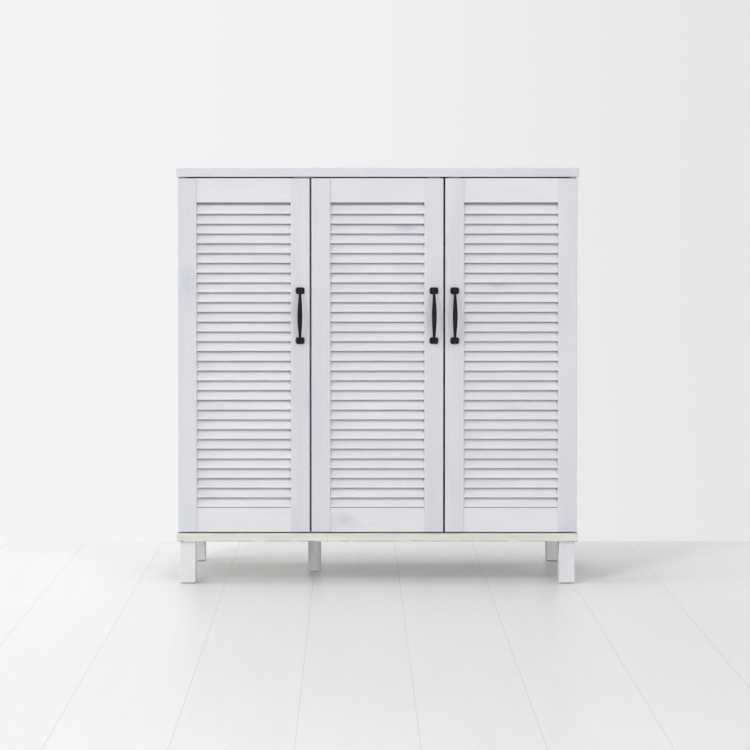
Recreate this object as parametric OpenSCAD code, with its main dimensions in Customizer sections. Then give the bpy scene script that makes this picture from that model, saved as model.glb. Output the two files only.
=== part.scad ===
// Shoe cabinet: three louvred doors, a fixed partition, loose shelves and five short legs.
// Millimetres. X runs to the right, Y to the back and Z up, with the floor at Z = 0.
// The origin is on the floor, under the middle of the box round the cabinet and its handles.

/* [Carcass] */
// Width of the top and bottom boards
cabinet_w = 890; // [740:1:1100]
// Depth of the top and bottom boards
cabinet_d = 350; // [290:1:450]
// Height from the floor to the top face
cabinet_h = 923; // [760:1:1150]
// Thickness of the top board
top_t = 20; // [18:0.5:25]
// Thickness of the bottom board
board_t = 18; // [18:0.5:25]
// Thickness of the side panels and the partition
panel_t = 16; // [16:0.5:20]
// Set-in of the side panels from the board ends
panel_inset = 3; // [1:0.5:8]
// Easing radius on the long edges of boards and shelves
edge_r = 1.5; // [0.5:0.25:3]
// Thickness of the back panels
back_t = 3; // [2.5:0.5:5]
// Depth of the grooves that hold the back panels
groove_depth = 5; // [3:0.5:6]
// Rear edge of the boards to the back panels
back_inset = 10; // [6:0.5:20]

/* [Legs] */
// Floor to the underside of the bottom board
leg_h = 95; // [60:1:160]
// Side of a square corner leg
leg_w = 35; // [30:1:50]
// Set-in of the corner legs from the board edges
leg_inset = 6.5; // [2:0.5:30]
// Diameter of the round middle leg
mid_leg_d = 30; // [26:1:45]
// Middle leg to the right of the partition's middle
mid_leg_shift = 6; // [-15:0.5:15]
// Thickness of the glides under the legs
glide_t = 2; // [1.5:0.5:5]
// Diameter of the glides
glide_d = 22; // [16:1:26]

/* [Doors] */
// Thickness of the stiles
door_t = 20; // [19:0.5:24]
// Gap between neighbouring doors
door_gap = 4; // [3.5:0.25:6]
// Gap above and below the doors
door_clear = 3; // [1.5:0.25:6]
// Door faces behind the front edges of the boards
door_setback = 1; // [0:0.25:6]
// Door backs to the front edges of the panels
door_standoff = 3; // [3:0.25:6]
// Width of a stile
stile_w = 42; // [41:0.5:60]
// Rounding of the stile edges
stile_r = 2; // [2:0.25:4]
// Height of a rail
rail_h = 53.5; // [40:0.5:80]
// Rail faces behind the stile faces, front and back
rail_setback = 1.5; // [0.5:0.25:3]
// Length of a rail tenon
tenon_l = 26; // [15:1:30]
// Thickness of a rail tenon
tenon_t = 8; // [6:0.5:9]
// Shoulder above and below a rail tenon
tenon_shoulder = 7; // [4:0.5:12]

/* [Louvres] */
// Width of a slat across its tilt
slat_w = 27; // [25:0.5:29]
// Thickness of a slat
slat_t = 5.5; // [4:0.25:6.5]
// Rounding of the slat edges
slat_r = 1.6; // [0.5:0.1:1.9]
// Tilt of a slat from upright, lower edge forward
slat_tilt = 28; // [20:1:32]
// Spacing of the slats up the door
slat_pitch = 21.7; // [20:0.1:24]
// Length of a slat's end inside the stile
slat_housing = 8; // [5:0.5:9]

/* [Handles] */
// Length of a handle over its feet
handle_l = 126; // [100:1:160]
// Reach of a handle in front of the door face
handle_proud = 26; // [22:0.5:34]
// Top edge of the door to the middle of the handle
handle_drop = 304; // [150:1:450]
// Width of a handle foot
foot_w = 20; // [14:0.5:26]
// Height of a handle foot
foot_h = 15.4; // [12:0.2:20]
// Thickness of a handle foot
foot_t = 2.5; // [2:0.25:4]
// Thickness of the neck that joins foot and grip
neck_d = 7.2; // [7:0.1:9]
// Length of the neck, from the door face
neck_l = 9; // [8.5:0.25:12]
// Thickness of the grip, front to back
grip_d = 6.6; // [5:0.2:7.2]
// Width of the grip halfway along it
grip_w = 11; // [8:0.5:14]
// Width of the grip at its ends
grip_end_w = 6.4; // [5:0.2:7]

/* [Hinges] */
// Diameter of a hinge cup
cup_d = 26; // [26:0.5:28]
// Door edge to the rim of the cup
cup_edge = 4; // [3:0.25:5]
// Wood left between the bottom of the cup and the door's face
cup_skin = 5.8; // [5.2:0.1:6.2]
// Thickness of the cup's side wall
cup_wall = 0.8; // [0.6:0.1:1]
// Thickness of the cup's floor
cup_floor = 0.6; // [0.4:0.1:1]
// Hinge pin in from the door's edge
pivot_in = 9; // [8.5:0.1:9.5]
// Hinge pin behind the door's face
pivot_back = 9; // [8.5:0.1:9.5]
// Diameter of the hinge pin
hinge_pin_d = 2.5; // [2:0.1:2.6]
// Door end to the middle of the nearest hinge
hinge_end = 85; // [80:1:150]
// Width of the strip that the hinge arm is bent from
arm_strip = 8; // [6:0.5:9]
// Thickness of that strip
arm_t = 2.4; // [2:0.1:2.6]
// Door edge to the middle of the arm's bend
arm_reach = 24; // [22:0.5:25]

/* [Shelves] */
// Thickness of a shelf
shelf_t = 16; // [15:0.5:22]
// Shelf front edge behind the panel edges
shelf_setback = 6; // [3:0.5:30]
// Spacing of the pin holes
hole_pitch = 32; // [25:1:40]
// Panel edge to the line of pins and hinge plates
system_line = 37; // [37:0.5:45]
// Diameter of a shelf pin
pin_d = 5; // [4:0.5:7]

/* [Clearances] */
// Side clearance of a glued or pressed joint
fit = 0.1; // [0.05:0.05:0.3]
// Space past the end of a tenon, dowel or screw
end_space = 0.5; // [0.3:0.1:2]
// Clearance round a hinge pin
pin_play = 0.05; // [0.02:0.01:0.08]
// Clearance of a shelf at each end
shelf_play = 1; // [0.3:0.1:2]

/* [Hidden] */
$fn = 48;
eps = 0.5;

// Colours
WASHED_PINE = "#dcdce2";
PALE_PINE = "#d9dad5";
SLAT_PINE = "#d2d2d8";
BACK_BOARD = "#d8d6d0";
BEECH = "#c9a878";
ZINC = "#b9bcc0";
NICKEL = "#c8c8c6";
BLACK_IRON = "#25211f";
WHITE_PLASTIC = "#ecebe6";
FELT = "#5a5551";

// Doors by number, from the left
LEFT = 0;
MIDDLE = 1;
RIGHT = 2;
SHELVES = 4;

// Heights
inner_z0 = leg_h + board_t;
inner_z1 = cabinet_h - top_t;
inner_h = inner_z1 - inner_z0;
door_z0 = inner_z0 + door_clear;
door_z1 = inner_z1 - door_clear;
door_h = door_z1 - door_z0;
handle_z = door_z1 - handle_drop;
hinge_zs = [door_z0 + hinge_end, door_z1 - hinge_end];

// Depths, with the handles counted in the box that the origin is centred on
front_y = -(cabinet_d - handle_proud + door_setback) / 2;
back_y = front_y + cabinet_d;
door_front_y = front_y + door_setback;
door_back_y = door_front_y + door_t;
door_mid_y = door_front_y + door_t / 2;
panel_front_y = door_back_y + door_standoff;
groove_y = back_y - back_inset - back_t - fit;
pin_ys = [panel_front_y + system_line, groove_y - system_line];

// Widths
side_x = cabinet_w / 2 - panel_inset;
door_w = (2 * side_x - 2 * door_gap) / 3;
partition_x = -side_x + door_w + door_gap / 2;
upright_xs = [-side_x + panel_t / 2, partition_x, side_x - panel_t / 2];
room_x0 = [upright_xs[0] + panel_t / 2, upright_xs[1] + panel_t / 2];
room_x1 = [upright_xs[1] - panel_t / 2, upright_xs[2] - panel_t / 2];
opening_w = door_w - 2 * stile_w;
opening_h = door_h - 2 * rail_h;
slat_rise = 2 * (
    (slat_w / 2 - slat_r) * cos(slat_tilt) + (slat_t / 2 - slat_r) * sin(slat_tilt) + slat_r
);
slat_count = floor((opening_h - slat_rise) / slat_pitch) + 1;

function door_x0(i) = -side_x + i * (door_w + door_gap);
function opens_right(i) = i == RIGHT;
function hinge_edge(i) = opens_right(i) ? door_x0(i) + door_w : door_x0(i);
function hinge_way(i) = opens_right(i) ? -1 : 1;
function hinge_face(i) = [room_x0[0], room_x0[1], room_x1[1]][i];
function face_in(i) = abs(hinge_face(i) - hinge_edge(i));
function handle_x(i) = hinge_edge(i) + hinge_way(i) * (door_w - stile_w / 2);

// Corner joints: eccentric cams with their bolts, and dowels
cam_d = 15;
cam_below_bolt = 4.4;
cam_depth = panel_t / 2 + cam_below_bolt;
cam_from_end = 34;
cam_bolt_d = 5;
cam_bolt_head_d = 7;
cam_bolt_head_l = 3;
cam_pocket_d = 8;
bolt_in_board = 10;
dowel_d = 8;
dowel_l = 30;
dowel_in_board = 10;
cam_from_front = 48;
cam_from_back = 58;
dowel_spacing = 40;
cam_ys = [panel_front_y + cam_from_front, back_y - cam_from_back];
dowel_ys = [cam_ys[0] + dowel_spacing, cam_ys[1] - dowel_spacing];

// Leg fastening
leg_bolt_d = 8;
leg_bolt_in_leg = 35;
insert_d = 12;
insert_l = 13;
leg_x = cabinet_w / 2 - leg_inset - leg_w / 2;
leg_front_y = front_y + leg_inset + leg_w / 2;
leg_back_y = back_y - leg_inset - leg_w / 2;
mid_leg_pos = [partition_x + mid_leg_shift, (front_y + back_y) / 2];
leg_spots = [
    [-leg_x, leg_front_y], [leg_x, leg_front_y], [-leg_x, leg_back_y], [leg_x, leg_back_y],
    mid_leg_pos
];

// Shelf pins
pin_in_panel = 6.6;
lug_l = 8;
lug_w = 7;
lug_h = 6;
shelf_front_y = panel_front_y + shelf_setback;
shelf_back_y = groove_y - shelf_play;
function shelf_z(k) = inner_z0 + inner_h * k / (SHELVES + 1) - shelf_t / 2;

// Hinge details, measured in from the door's hinge edge and back from the door's face
cup_depth = door_t - cup_skin;
cup_in = cup_edge + cup_d / 2;
pocket_r = cup_d / 2 - cup_wall;
cup_rim_w = 1.5;
cup_rim_t = 1;
hinge_pin_half = sqrt(pow(cup_d / 2, 2) - pow(cup_in - pivot_in + hinge_pin_d / 2, 2)) - fit;
eye_d = 4.6;
arm_body_t = 3.6;
arm_body_w = 12;
arm_start = door_t + door_standoff + 3;
arm_l = 46;
plate_t = 4;
plate_w = 16;
plate_h = 44;
plate_mid = door_t + door_standoff + system_line;
plate_screw_z = 16;
wood_screw_d = 3;
wood_screw_l = 12;
screw_head_d = 6.4;
screw_head_t = 1.8;

// Magnetic catches and their strike plates
catch_full_w = 28;
catch_clear = 1;
catch_w = min(catch_full_w, 2 * (room_x1[0] - handle_x(LEFT) - catch_clear));
catch_d = 15;
catch_h = 13;
strike_d = 10;
strike_t = 1.2;
strike_gap = 0.3;
strike_peg_d = 3;
strike_peg_l = 4;
strike_z = door_z1 - strike_d / 2 - 1;
catch_front_y = door_back_y + strike_t + strike_gap;

// Handle details
handle_screw_d = 4;
handle_screw_in = 8;
handle_head_d = 8;
handle_head_t = 2.4;
handle_hole_spare = 0.25;
foot_r = 3;
foot_z = (handle_l - foot_h) / 2;
grip_rise = handle_proud - grip_d / 2 - neck_l;
grip_bend_r = (foot_z * foot_z + grip_rise * grip_rise) / (2 * grip_rise);
grip_half_angle = asin(foot_z / grip_bend_r);
grip_edge_r = 2.4;
grip_swell = (grip_w - grip_end_w) / 2;
grip_side_r = (foot_z * foot_z + grip_swell * grip_swell) / (2 * grip_swell);

// A rectangle with rounded corners, centred
module rounded_rect(w, d, r) {
    square([w - 2 * r, d], center = true);
    square([w, d - 2 * r], center = true);
    for (sx = [-1, 1], sy = [-1, 1])
        translate([sx * (w / 2 - r), sy * (d / 2 - r)]) circle(r);
}

// A board from corner a to corner b, with its four long edges along X eased
module board(a, b) {
    s = b - a;
    translate([a[0], (a[1] + b[1]) / 2, (a[2] + b[2]) / 2])
        rotate([90, 0, 90]) linear_extrude(s[0]) rounded_rect(s[1], s[2], edge_r);
}

// A box from corner a to corner b
module block(a, b) {
    translate(a) cube(b - a);
}

// Round rods that start at a point and run along one axis, forwards or backwards
module rod_x(p, d, l, way) {
    translate(p) rotate([0, way * 90, 0]) cylinder(d = d, h = l);
}

module rod_y(p, d, l, way) {
    translate(p) rotate([-way * 90, 0, 0]) cylinder(d = d, h = l);
}

module rod_z(p, d, l, way) {
    translate(p) rotate([way > 0 ? 0 : 180, 0, 0]) cylinder(d = d, h = l);
}

// The same as holes, opened a little past the face that they start from
module hole_x(p, d, l, way) {
    rod_x(p - [way * eps, 0, 0], d, l + eps, way);
}

module hole_y(p, d, l, way) {
    rod_y(p - [0, way * eps, 0], d, l + eps, way);
}

module hole_z(p, d, l, way) {
    rod_z(p - [0, 0, way * eps], d, l + eps, way);
}

// Holes in the face of the top board (end = 1) or the bottom board (end = -1) for the uprights
module upright_holes(end) {
    z = end > 0 ? inner_z1 : inner_z0;
    for (x = upright_xs) {
        for (y = cam_ys)
            hole_z([x, y, z], cam_bolt_d + 2 * fit, bolt_in_board + end_space, end);
        for (y = dowel_ys)
            hole_z([x, y, z], dowel_d + 2 * fit, dowel_in_board + end_space, end);
    }
}

// Grooves in the same faces for the two back panels
module board_grooves(end) {
    z0 = end > 0 ? inner_z1 - eps : inner_z0 - groove_depth;
    for (i = [0, 1])
        block(
            [room_x0[i] - groove_depth, groove_y, z0],
            [room_x1[i] + groove_depth, groove_y + back_t + 2 * fit, z0 + groove_depth + eps]
        );
}

module top_board() color(WASHED_PINE) difference() {
    board([-cabinet_w / 2, front_y, inner_z1], [cabinet_w / 2, back_y, cabinet_h]);
    upright_holes(1);
    board_grooves(1);
    for (i = [LEFT, MIDDLE, RIGHT])
        hole_z(
            [handle_x(i), catch_front_y + catch_d / 2, inner_z1],
            wood_screw_d + 2 * fit, bolt_in_board + end_space, 1
        );
}

module bottom_board() color(PALE_PINE) difference() {
    board([-cabinet_w / 2, front_y, leg_h], [cabinet_w / 2, back_y, inner_z0]);
    upright_holes(-1);
    board_grooves(-1);
    for (p = leg_spots)
        hole_z([p[0], p[1], leg_h], insert_d + 2 * fit, insert_l + end_space, 1);
}

// An upright with its fittings on the listed faces; -1 is its left face and 1 its right face
module upright(n, faces, cam_side) {
    x = upright_xs[n];
    difference() {
        block(
            [x - panel_t / 2, panel_front_y, inner_z0],
            [x + panel_t / 2, back_y, inner_z1]
        );
        for (side = faces) {
            face_x = x + side * panel_t / 2;
            translate([face_x - groove_depth, groove_y, inner_z0 - eps])
                cube([2 * groove_depth, back_t + 2 * fit, inner_h + 2 * eps]);
            for (y = pin_ys, k = [1:SHELVES], step = [-1:1])
                hole_x(
                    [face_x, y, shelf_z(k) - lug_h / 2 + step * hole_pitch],
                    pin_d + fit, pin_in_panel + fit, -side
                );
        }
        for (i = [LEFT, MIDDLE, RIGHT])
            if (abs(hinge_face(i) - x) < panel_t)
                for (z = hinge_zs, s = [-1, 1])
                    hole_x(
                        [hinge_face(i), panel_front_y + system_line, z + s * plate_screw_z],
                        wood_screw_d + 2 * fit, wood_screw_l + end_space, -hinge_way(i)
                    );
        for (end = [-1, 1]) {
            z = end > 0 ? inner_z1 : inner_z0;
            for (y = cam_ys) {
                hole_z([x, y, z], cam_pocket_d, cam_from_end, -end);
                hole_x(
                    [x + cam_side * panel_t / 2, y, z - end * cam_from_end],
                    cam_d + 2 * fit, cam_depth + fit, -cam_side
                );
            }
            for (y = dowel_ys)
                hole_z(
                    [x, y, z], dowel_d + 2 * fit, dowel_l - dowel_in_board + end_space, -end
                );
        }
    }
}

module left_side_panel() color(WASHED_PINE) upright(0, [1], 1);
module partition() color(WASHED_PINE) upright(1, [-1, 1], 1);
module right_side_panel() color(WASHED_PINE) upright(2, [-1], -1);

// A back panel in its grooves; room 0 is the left one and room 1 the right one
module back_panel(room) {
    edge = groove_depth - end_space;
    block(
        [room_x0[room] - edge, groove_y + fit, inner_z0 - edge],
        [room_x1[room] + edge, groove_y + fit + back_t, inner_z1 + edge]
    );
}

module left_back_panel() color(BACK_BOARD) back_panel(0);
module right_back_panel() color(BACK_BOARD) back_panel(1);

module shelf(room, k) {
    z = shelf_z(k);
    board(
        [room_x0[room] + shelf_play, shelf_front_y, z],
        [room_x1[room] - shelf_play, shelf_back_y, z + shelf_t]
    );
}

module left_shelf_1() color(WASHED_PINE) shelf(0, 1);
module left_shelf_2() color(WASHED_PINE) shelf(0, 2);
module left_shelf_3() color(WASHED_PINE) shelf(0, 3);
module left_shelf_4() color(WASHED_PINE) shelf(0, 4);
module right_shelf_1() color(WASHED_PINE) shelf(1, 1);
module right_shelf_2() color(WASHED_PINE) shelf(1, 2);
module right_shelf_3() color(WASHED_PINE) shelf(1, 3);
module right_shelf_4() color(WASHED_PINE) shelf(1, 4);

// One shelf pin: a peg in the panel and a flat-topped lug under the shelf
module shelf_pin(face_x, y, z, way) {
    rod_x([face_x, y, z - lug_h / 2], pin_d, pin_in_panel, -way);
    translate([way > 0 ? face_x : face_x - lug_l, y - lug_w / 2, z - lug_h])
        cube([lug_l, lug_w, lug_h]);
}

module shelf_pins() color(WHITE_PLASTIC) {
    for (room = [0, 1], k = [1:SHELVES], y = pin_ys) {
        shelf_pin(room_x0[room], y, shelf_z(k), 1);
        shelf_pin(room_x1[room], y, shelf_z(k), -1);
    }
}

// Which face of each upright holds the cams
cam_sides = [1, 1, -1];

module cam_locks() color(ZINC) {
    for (n = [0:2], y = cam_ys, end = [-1, 1]) {
        z = end > 0 ? inner_z1 : inner_z0;
        difference() {
            rod_x(
                [upright_xs[n] + cam_sides[n] * panel_t / 2, y, z - end * cam_from_end],
                cam_d, cam_depth, -cam_sides[n]
            );
            rod_z([upright_xs[n], y, z], cam_pocket_d, cam_from_end + cam_bolt_head_l, -end);
        }
    }
}

module cam_bolts() color(ZINC) {
    for (x = upright_xs, y = cam_ys, end = [-1, 1]) {
        z = end > 0 ? inner_z1 : inner_z0;
        rod_z([x, y, z + end * bolt_in_board], cam_bolt_d, bolt_in_board + cam_from_end, -end);
        rod_z([x, y, z - end * cam_from_end], cam_bolt_head_d, cam_bolt_head_l, end);
    }
}

module carcass_dowels() color(BEECH) {
    for (x = upright_xs, y = dowel_ys, end = [-1, 1]) {
        z = end > 0 ? inner_z1 : inner_z0;
        rod_z([x, y, z + end * dowel_in_board], dowel_d, dowel_l, -end);
    }
}

// Hole in the top of a leg for its bolt
module leg_bolt_hole(p) {
    hole_z([p[0], p[1], leg_h], leg_bolt_d + 2 * fit, leg_bolt_in_leg + end_space, -1);
}

module square_leg(p) {
    difference() {
        translate([p[0], p[1], glide_t])
            linear_extrude(leg_h - glide_t) rounded_rect(leg_w, leg_w, edge_r);
        leg_bolt_hole(p);
    }
}

module front_left_leg() color(WASHED_PINE) square_leg(leg_spots[0]);
module front_right_leg() color(WASHED_PINE) square_leg(leg_spots[1]);
module rear_left_leg() color(WASHED_PINE) square_leg(leg_spots[2]);
module rear_right_leg() color(WASHED_PINE) square_leg(leg_spots[3]);

module middle_leg() color(WASHED_PINE) difference() {
    rod_z([mid_leg_pos[0], mid_leg_pos[1], glide_t], mid_leg_d, leg_h - glide_t, 1);
    leg_bolt_hole(mid_leg_pos);
}

module leg_bolts() color(ZINC) {
    for (p = leg_spots)
        rod_z(
            [p[0], p[1], leg_h - leg_bolt_in_leg],
            leg_bolt_d, leg_bolt_in_leg + insert_l - end_space, 1
        );
}

module leg_inserts() color(ZINC) {
    for (p = leg_spots)
        difference() {
            rod_z([p[0], p[1], leg_h], insert_d, insert_l, 1);
            hole_z([p[0], p[1], leg_h], leg_bolt_d + 2 * fit, insert_l + eps, 1);
        }
}

module leg_glides() color(FELT) {
    for (p = leg_spots)
        rod_z([p[0], p[1], 0], glide_d, glide_t, 1);
}

// Places a hinge piece: X runs in from the door's hinge edge and Y back from the door's face
module at_hinge(i, z) {
    translate([hinge_edge(i), door_front_y, z])
        mirror([opens_right(i) ? 1 : 0, 0, 0]) children();
}

module hinge_plate(face) {
    difference() {
        block(
            [face, plate_mid - plate_w / 2, -plate_h / 2],
            [face + plate_t, plate_mid + plate_w / 2, plate_h / 2]
        );
        for (s = [-1, 0, 1])
            hole_x([face, plate_mid, s * plate_screw_z], wood_screw_d + 2 * fit, plate_t + eps, 1);
    }
}

module hinge_plates() color(NICKEL) {
    for (i = [LEFT, MIDDLE, RIGHT], z = hinge_zs)
        at_hinge(i, z) hinge_plate(face_in(i));
}

// The arm: an eye round the pin, a strip bent back out of the cup, and a body on the plate
module hinge_arm(face) {
    body = face + plate_t;
    difference() {
        union() {
            translate([pivot_in, pivot_back, -arm_strip / 2]) cylinder(d = eye_d, h = arm_strip);
            block(
                [pivot_in, pivot_back - arm_t / 2, -arm_strip / 2],
                [arm_reach + arm_t / 2, pivot_back + arm_t / 2, arm_strip / 2]
            );
            block(
                [arm_reach - arm_t / 2, pivot_back - arm_t / 2, -arm_strip / 2],
                [arm_reach + arm_t / 2, arm_start + arm_t, arm_strip / 2]
            );
            block(
                [body, arm_start, -arm_strip / 2],
                [arm_reach + arm_t / 2, arm_start + arm_t, arm_strip / 2]
            );
            block(
                [body, arm_start, -arm_body_w / 2],
                [body + arm_body_t, arm_start + arm_l, arm_body_w / 2]
            );
        }
        translate([pivot_in, pivot_back, -arm_strip])
            cylinder(d = hinge_pin_d + 2 * pin_play, h = 2 * arm_strip);
        hole_x([body, plate_mid, 0], wood_screw_d + 2 * fit, arm_body_t + eps, 1);
    }
}

module hinge_arms() color(NICKEL) {
    for (i = [LEFT, MIDDLE, RIGHT], z = hinge_zs)
        at_hinge(i, z) hinge_arm(face_in(i));
}

module hinge_screws() color(ZINC) {
    for (i = [LEFT, MIDDLE, RIGHT], z = hinge_zs)
        at_hinge(i, z) {
            plate_face = face_in(i) + plate_t;
            for (s = [-1, 1]) {
                rod_x(
                    [plate_face, plate_mid, s * plate_screw_z],
                    wood_screw_d, plate_t + wood_screw_l, -1
                );
                rod_x([plate_face, plate_mid, s * plate_screw_z], screw_head_d, screw_head_t, 1);
            }
            rod_x([plate_face + arm_body_t, plate_mid, 0], wood_screw_d, arm_body_t + plate_t, -1);
            rod_x([plate_face + arm_body_t, plate_mid, 0], screw_head_d, screw_head_t, 1);
        }
}

// Place of the catch screw head inside the catch
catch_head_z = inner_z1 - 4;

module magnetic_catches() color(WHITE_PLASTIC) {
    for (i = [LEFT, MIDDLE, RIGHT])
        difference() {
            block(
                [handle_x(i) - catch_w / 2, catch_front_y, inner_z1 - catch_h],
                [handle_x(i) + catch_w / 2, catch_front_y + catch_d, inner_z1]
            );
            translate([handle_x(i), catch_front_y + catch_d / 2, inner_z1 - catch_h - eps]) {
                cylinder(d = wood_screw_d + 2 * fit, h = catch_h + 2 * eps);
                cylinder(d = screw_head_d + 2 * fit, h = catch_head_z - inner_z1 + catch_h + eps);
            }
        }
}

module catch_screws() color(ZINC) {
    for (i = [LEFT, MIDDLE, RIGHT]) {
        p = [handle_x(i), catch_front_y + catch_d / 2, catch_head_z];
        rod_z(p, wood_screw_d, inner_z1 - catch_head_z + bolt_in_board, 1);
        rod_z(p, screw_head_d, screw_head_t, -1);
    }
}

// Outline of a slat's end, or with a clearance of the housing that it sits in
module slat_outline(clear) {
    rounded_rect(slat_t + 2 * clear, slat_w + 2 * clear, slat_r + clear);
}

// All slats of one door, from x0 to x1
module slat_row(x0, x1, clear) {
    low = door_z0 + rail_h + (opening_h - slat_count * slat_pitch) / 2;
    for (n = [0:slat_count - 1])
        translate([x0, door_mid_y, low + (n + 0.5) * slat_pitch])
            rotate([-slat_tilt, 0, 0]) rotate([90, 0, 90])
                linear_extrude(x1 - x0) slat_outline(clear);
}

function opening_x0(i) = door_x0(i) + stile_w;
function opening_x1(i) = door_x0(i) + door_w - stile_w;

module door_slats(i) {
    reach = slat_housing - end_space;
    slat_row(opening_x0(i) - reach, opening_x1(i) + reach, 0);
}

// Tenons of both rails, or with a clearance their mortises
module rail_tenon(i, z, clear, reach) {
    block(
        [
            opening_x0(i) - reach,
            door_mid_y - tenon_t / 2 - clear,
            z + tenon_shoulder - clear
        ],
        [
            opening_x1(i) + reach,
            door_mid_y + tenon_t / 2 + clear,
            z + rail_h - tenon_shoulder + clear
        ]
    );
}

module door_rail(i, z) {
    block(
        [opening_x0(i), door_front_y + rail_setback, z],
        [opening_x1(i), door_back_y - rail_setback, z + rail_h]
    );
    rail_tenon(i, z, 0, tenon_l - end_space);
}

// A stile from its outer edge: with housings for the slats and mortises for the rails
module door_stile(i, x0) {
    difference() {
        translate([x0 + stile_w / 2, door_mid_y, door_z0])
            linear_extrude(door_h) rounded_rect(stile_w, door_t, stile_r);
        slat_row(opening_x0(i) - slat_housing, opening_x1(i) + slat_housing, fit);
        for (z = [door_z0, door_z1 - rail_h])
            rail_tenon(i, z, fit, tenon_l);
        children();
    }
}

module hinge_stile(i) {
    door_stile(i, opens_right(i) ? opening_x1(i) : door_x0(i))
        for (z = hinge_zs)
            hole_y(
                [hinge_edge(i) + hinge_way(i) * cup_in, door_back_y, z],
                cup_d + 2 * fit, cup_depth + fit, -1
            );
}

module handle_stile(i) {
    door_stile(i, opens_right(i) ? door_x0(i) : opening_x1(i)) {
        for (s = [-1, 1])
            hole_y(
                [handle_x(i), door_back_y, handle_z + s * foot_z],
                handle_screw_d + 2 * handle_hole_spare, door_t + eps, -1
            );
        hole_y(
            [handle_x(i), door_back_y, strike_z],
            strike_peg_d + 2 * fit, strike_peg_l + end_space, -1
        );
    }
}

// The cups of a door, with the pin fixed across each
module hinge_cups(i) {
    for (z = hinge_zs)
        at_hinge(i, z) {
            difference() {
                union() {
                    rod_y([cup_in, door_t, 0], cup_d, cup_depth, -1);
                    rod_y([cup_in, door_t, 0], cup_d + 2 * cup_rim_w, cup_rim_t, 1);
                }
                rod_y(
                    [cup_in, door_t + cup_rim_t + eps, 0],
                    2 * pocket_r, cup_depth - cup_floor + cup_rim_t + eps, -1
                );
            }
            translate([pivot_in, pivot_back, -hinge_pin_half])
                cylinder(d = hinge_pin_d, h = 2 * hinge_pin_half);
        }
}

module strike_plate(i) {
    rod_y([handle_x(i), door_back_y, strike_z], strike_d, strike_t, 1);
    rod_y([handle_x(i), door_back_y, strike_z], strike_peg_d, strike_peg_l, -1);
}

// A large round that trims one side of a grip, so that it narrows towards both necks
module grip_side(s) {
    translate([s * (grip_side_r - grip_w / 2), 0, 0])
        rotate([90, 0, 0]) cylinder(r = grip_side_r, h = 2 * handle_proud, $fn = 720);
}

// A bow handle: two feet, two necks and an arched grip between them
module bow_handle(i) {
    translate([handle_x(i), door_front_y, handle_z])
        difference() {
            union() {
                for (s = [-1, 1])
                    translate([0, 0, s * foot_z]) {
                        rotate([90, 0, 0]) linear_extrude(foot_t) rounded_rect(foot_w, foot_h, foot_r);
                        rod_y([0, 0, 0], neck_d, neck_l, -1);
                        translate([0, -neck_l, 0]) sphere(d = neck_d);
                    }
                intersection() {
                    translate([0, grip_bend_r - neck_l - grip_rise, 0])
                        rotate([90, 0, -90]) rotate([0, 0, -grip_half_angle])
                            rotate_extrude(angle = 2 * grip_half_angle)
                                translate([grip_bend_r, 0])
                                    rounded_rect(grip_d, grip_w, grip_edge_r);
                    grip_side(-1);
                    grip_side(1);
                }
            }
            for (s = [-1, 1])
                hole_y([0, 0, s * foot_z], handle_screw_d + 2 * fit, handle_screw_in + end_space, -1);
        }
}

module handle_screws(i) {
    for (s = [-1, 1]) {
        p = [handle_x(i), door_back_y, handle_z + s * foot_z];
        rod_y(p, handle_screw_d, door_t + handle_screw_in, -1);
        rod_y(p, handle_head_d, handle_head_t, 1);
    }
}

module left_door_hinge_stile() color(WASHED_PINE) hinge_stile(LEFT);
module left_door_handle_stile() color(WASHED_PINE) handle_stile(LEFT);
module left_door_top_rail() color(WASHED_PINE) door_rail(LEFT, door_z1 - rail_h);
module left_door_bottom_rail() color(WASHED_PINE) door_rail(LEFT, door_z0);
module left_door_slats() color(SLAT_PINE) door_slats(LEFT);
module left_door_handle() color(BLACK_IRON) bow_handle(LEFT);
module left_door_handle_screws() color(ZINC) handle_screws(LEFT);
module left_door_hinge_cups() color(NICKEL) hinge_cups(LEFT);
module left_door_strike_plate() color(ZINC) strike_plate(LEFT);

module middle_door_hinge_stile() color(WASHED_PINE) hinge_stile(MIDDLE);
module middle_door_handle_stile() color(WASHED_PINE) handle_stile(MIDDLE);
module middle_door_top_rail() color(WASHED_PINE) door_rail(MIDDLE, door_z1 - rail_h);
module middle_door_bottom_rail() color(WASHED_PINE) door_rail(MIDDLE, door_z0);
module middle_door_slats() color(SLAT_PINE) door_slats(MIDDLE);
module middle_door_handle() color(BLACK_IRON) bow_handle(MIDDLE);
module middle_door_handle_screws() color(ZINC) handle_screws(MIDDLE);
module middle_door_hinge_cups() color(NICKEL) hinge_cups(MIDDLE);
module middle_door_strike_plate() color(ZINC) strike_plate(MIDDLE);

module right_door_hinge_stile() color(WASHED_PINE) hinge_stile(RIGHT);
module right_door_handle_stile() color(WASHED_PINE) handle_stile(RIGHT);
module right_door_top_rail() color(WASHED_PINE) door_rail(RIGHT, door_z1 - rail_h);
module right_door_bottom_rail() color(WASHED_PINE) door_rail(RIGHT, door_z0);
module right_door_slats() color(SLAT_PINE) door_slats(RIGHT);
module right_door_handle() color(BLACK_IRON) bow_handle(RIGHT);
module right_door_handle_screws() color(ZINC) handle_screws(RIGHT);
module right_door_hinge_cups() color(NICKEL) hinge_cups(RIGHT);
module right_door_strike_plate() color(ZINC) strike_plate(RIGHT);

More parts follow.
